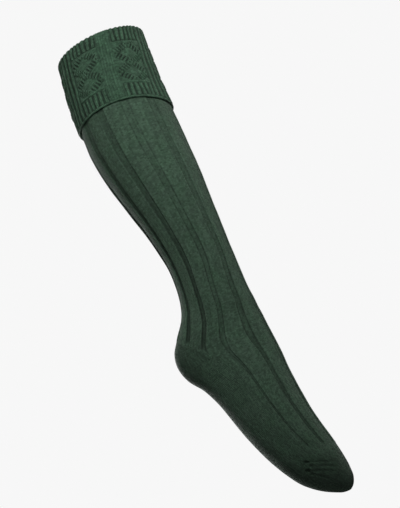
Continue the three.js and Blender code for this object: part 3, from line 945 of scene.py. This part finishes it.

# %% [markdown]
# Each slot of the record gets a wool of its own. The dye is the same but on the cuff, which is a touch
# greener. The heel and the toe carry painted shade from their relief, and their grooves are darkened less
# than the leg's and the foot's. Wool scatters light in its loose fibres, which a rough surface with sheen
# imitates, and the stitches and the fuzz reach the shader as a bump.
# %% Wool for each piece


def wool(name, colour, grey, stitch_height, purl_in_groove, groove_shade):
    material = bpy.data.materials.new(name)
    material.use_nodes = True
    tree = material.node_tree
    shader = tree.nodes["Principled BSDF"]
    stitch_map = add(tree, "ShaderNodeUVMap", uv_map="stitches")
    # Painted shade from the attribute, which also sets the share of purl stitches
    groove = add(tree, "ShaderNodeAttribute", attribute_name="purl_and_painted_shade")
    stitches = add(tree, "ShaderNodeGroup", node_tree=stitch_group)
    # This group gives the dyed colour with painted shade in the grooves
    dye_and_painted_shading = add(tree, "ShaderNodeGroup", node_tree=wool_group)
    plug(tree, stitches.inputs["Stitch map"], stitch_map.outputs[0])
    plug(tree, stitches.inputs["Purl"], sum_up(tree, "MULTIPLY", groove.outputs["Fac"], purl_in_groove))
    dye_and_painted_shading.inputs["Colour"].default_value = (*colour, 1)
    dye_and_painted_shading.inputs["Grey"].default_value = (*grey, 1)
    dye_and_painted_shading.inputs["Groove shade"].default_value = groove_shade
    plug(tree, dye_and_painted_shading.inputs["Stitch tone"], stitches.outputs["Tone"])
    plug(tree, dye_and_painted_shading.inputs["Groove"], groove.outputs["Fac"])
    plug(tree, shader.inputs["Base Color"], dye_and_painted_shading.outputs["Colour"])
    shader.inputs["Roughness"].default_value = 0.92
    shader.inputs["Specular IOR Level"].default_value = 0.15
    shader.inputs["Sheen Weight"].default_value = 0.09
    shader.inputs["Sheen Roughness"].default_value = 0.30
    shader.inputs["Sheen Tint"].default_value = (0.46, 0.62, 0.48, 1)
    bump = add(tree, "ShaderNodeBump")
    bump.inputs["Strength"].default_value = 0.9
    bump.inputs["Distance"].default_value = stitch_height
    plug(tree, bump.inputs["Height"],
         sum_up(tree, "MULTIPLY_ADD", dye_and_painted_shading.outputs["Fuzz"], 0.35, stitches.outputs["Height"]))
    plug(tree, shader.inputs["Normal"], bump.outputs[0])
    return material


bottle_green, green_grey = (0.0275, 0.0570, 0.0340), (0.0320, 0.0535, 0.0380)
cuff_green, cuff_grey = (0.0260, 0.0620, 0.0350), (0.0300, 0.0590, 0.0385)
# name, two tones of the dye, height of a stitch, how far grooves turn to purl, how much painted shade
# darkens grooves
wools = {
    "turnover_cuff": wool("Cuff wool", cuff_green, cuff_grey, 0.0008, 0.4, 0.72),
    "leg": wool("Leg wool", bottle_green, green_grey, 0.0006, 1.0, 0.85),
    "heel": wool("Heel wool", bottle_green, green_grey, 0.0006, 0.3, 0.62),
    "foot": wool("Foot wool", bottle_green, green_grey, 0.0006, 1.0, 0.85),
    "toe": wool("Toe wool", bottle_green, green_grey, 0.0006, 0.3, 0.62),
}
print("wools:", [material.name for material in wools.values()])

# %% [markdown]
# Every piece rides on the one body that the hose has, stands for the solid under it, which is hidden, and
# gets the wool made for that solid.
# %% Hand the pieces to the frame
for node, piece in pieces.items():
    piece.data.materials.clear()
    piece.data.materials.append(wools[node])
    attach(piece, "root")
    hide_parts(node)
print("bodies:", {piece.name: "root" for piece in pieces.values()})

# %% [markdown]
# The hose is shown held up, as on a leg, in front of plain near-white studio paper. A large plane well
# below serves as the floor. The camera sees it nearly as pale as the paper behind, and it throws a little
# light back up onto the sole and the toe.
# %% Floor


def show_to_camera(tree, surface, picture, output):
    """The camera sees the picture, while the surface is what lights the hose."""
    seen = add(tree, "ShaderNodeLightPath")
    either = add(tree, "ShaderNodeMixShader")
    plug(tree, either.inputs[0], seen.outputs["Is Camera Ray"])
    plug(tree, either.inputs[1], surface)
    plug(tree, either.inputs[2], picture)
    plug(tree, tree.nodes[output].inputs["Surface"], either.outputs[0])


bpy.ops.object.select_all(action="DESELECT")
floor_height = -2.60
bpy.ops.mesh.primitive_plane_add(size=14, location=(0, 0, floor_height))
floor = bpy.context.object
floor.name = "studio_floor"
floor_paint = bpy.data.materials.new("Studio paper")
floor_paint.use_nodes = True
tree = floor_paint.node_tree
matt = tree.nodes["Principled BSDF"]
matt.inputs["Base Color"].default_value = (0.90, 0.90, 0.90, 1)
matt.inputs["Roughness"].default_value = 0.9
pale = add(tree, "ShaderNodeEmission")
pale.inputs["Color"].default_value = (0.90, 0.90, 0.90, 1)
show_to_camera(tree, matt.outputs[0], pale.outputs[0], "Material Output")
floor.data.materials.append(floor_paint)
print("floor at", floor_height)

# %% [markdown]
# Soft studio light: a broad lamp near the calf, a little to the shin's side, so that the cuff and the calf
# are light and the heel and the sole fall off into shade. Two lamps behind, one on each side, give the fuzzy
# edges a pale rim. An even glow would fill the furrows and flatten the knit, so the glow of the room is
# bright only towards the first lamp's side. The paper that the camera sees is brighter than that glow, so
# the two are kept apart in the world's nodes.
# %% Light
scene = bpy.context.scene
scene.view_settings.view_transform = "Standard"
world = bpy.data.worlds.new("Studio")
scene.world = world
world.use_nodes = True
tree = world.node_tree
glow = tree.nodes["Background"]
glow.inputs["Color"].default_value = (1, 1, 1, 1)
bright_side = (0.45, -0.70, 0.55)
least_glow, most_glow = 0.05, 0.22
toward = add(tree, "ShaderNodeTexCoord")
facing = add(tree, "ShaderNodeVectorMath", operation="DOT_PRODUCT")
plug(tree, facing.inputs[0], toward.outputs["Generated"])
facing.inputs[1].default_value = bright_side
room = add(tree, "ShaderNodeMapRange")
plug(tree, room.inputs[0], facing.outputs["Value"])
room.inputs[1].default_value = -0.7
room.inputs[2].default_value = 1.0
room.inputs[3].default_value = least_glow
room.inputs[4].default_value = most_glow
plug(tree, glow.inputs["Strength"], room.outputs[0])
paper = add(tree, "ShaderNodeBackground")
paper.inputs["Color"].default_value = (0.931, 0.931, 0.931, 1)
paper.inputs["Strength"].default_value = 1.0
show_to_camera(tree, glow.outputs[0], paper.outputs[0], "World Output")


def soft_lamp(name, place, aim, size, power):
    bpy.ops.object.light_add(type="AREA", location=place)
    lamp = bpy.context.object
    lamp.name = name
    lamp.data.shape = "DISK"
    lamp.data.size = size
    lamp.data.energy = power
    toward = np.array(aim) - np.array(place)
    flat = math.hypot(toward[0], toward[1])
    lamp.rotation_euler = (math.atan2(flat, -toward[2]), 0, math.atan2(-toward[0], toward[1]))


# name, place, what it is aimed at, size, power
soft_lamp("key_lamp", (0.16, -0.73, 0.10), (0.0, 0, -0.14), 0.45, 9.6)
soft_lamp("left_rim_lamp", (-0.80, 1.30, -0.1), (0, 0, -0.34), 0.9, 38)
soft_lamp("right_rim_lamp", (0.80, 1.50, -0.1), (0, 0, -0.38), 0.8, 11)

# %% [markdown]
# The photograph looks up at the hose from a little below, from far off, with the camera turned so that the
# leg leans to the left. The camera is set from those angles, from its distance and from the focal length
# that gives the same scale.
# %% Camera
looked_at = np.array([0.0072, 0.0, -0.2976])
camera_distance = 2.0
elevation, roll = math.radians(-17), math.radians(24.5)
forward = np.array([0, math.cos(elevation), -math.sin(elevation)])
level_right = np.array([1.0, 0, 0])
level_up = np.cross(level_right, forward)
camera_up = math.cos(roll) * level_up + math.sin(roll) * level_right
camera_right = math.cos(roll) * level_right - math.sin(roll) * level_up
turning = np.eye(4)
turning[:3, 0], turning[:3, 1], turning[:3, 2] = camera_right, camera_up, -forward
turning[:3, 3] = looked_at - camera_distance * forward
bpy.ops.object.camera_add()
camera = bpy.context.object
camera.name = "photo_camera"
camera.matrix_world = Matrix(turning.tolist())
camera.data.lens = 118.11
camera.data.sensor_width = 36
camera.data.clip_end = 100
scene.camera = camera
print("camera at", [round(float(v), 3) for v in turning[:3, 3]])

# %% [markdown]
# Last, the view layer is brought up to date.
# %% Finish
bpy.context.view_layer.update()
